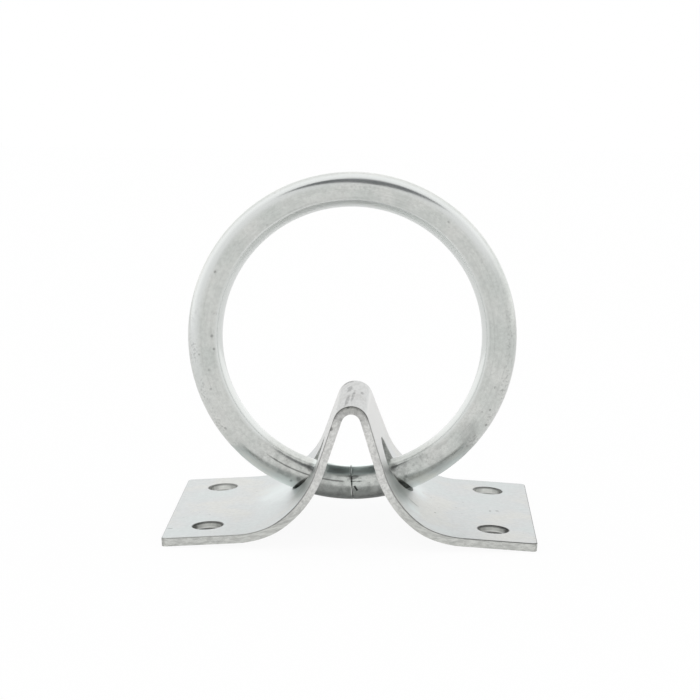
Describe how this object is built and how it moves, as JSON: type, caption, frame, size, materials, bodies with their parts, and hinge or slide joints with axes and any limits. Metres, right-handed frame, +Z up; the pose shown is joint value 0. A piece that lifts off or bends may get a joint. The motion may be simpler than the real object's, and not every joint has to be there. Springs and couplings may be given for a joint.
{
  "type": "ring on plate",
  "caption": "Deck fitting: a round steel ring swings in the humped middle of a pressed strip bracket that has screw holes in its feet.",
  "frame": {"origin": "on the deck, under the middle of the bracket", "axes": "+X along the strip from foot to foot, +Y across the strip and along the tunnel of the hump, +Z up off the deck"},
  "size_m": [0.11, 0.072, 0.1065],
  "materials": {
    "plated_strip": "satin",
    "plated_bar": "satin"
  },
  "bodies": {
    "bracket": {"bracket": "plated_strip"},
    "ring": {"ring": "plated_bar"}
  },
  "joints": [
    {"name": "ring_swing", "type": "hinge", "parent": "bracket", "child": "ring", "pos_m": [0, 0, 0.01551], "axis": [1, 0, 0], "range_deg": [-92, 100]}
  ]
}
